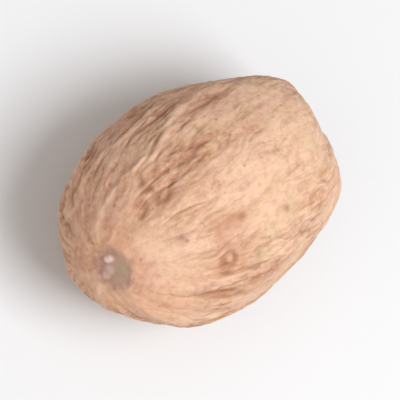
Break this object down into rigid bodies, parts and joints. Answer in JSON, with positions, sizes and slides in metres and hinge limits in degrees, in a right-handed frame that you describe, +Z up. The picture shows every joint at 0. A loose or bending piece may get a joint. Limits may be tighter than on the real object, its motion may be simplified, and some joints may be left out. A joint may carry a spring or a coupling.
{
  "type": "whole nutmeg",
  "caption": "Whole dried nutmeg seed lying on its side: a blunt ovoid with a shallow scar at each end, a groove along one flank and low lengthwise folds.",
  "frame": {"origin": "under the middle of the nut's box, on the surface that it rests on", "axes": "+X along the nut from the hilum end to the chalaza end, +Z up from the flat spot that it rests on"},
  "size_m": [0.026, 0.0194, 0.0188],
  "materials": {
    "seed_coat": "matt, dry and slightly chalky, pale tan with brown furrows"
  },
  "bodies": {
    "root": {"nutmeg": "seed_coat"}
  },
  "joints": []
}
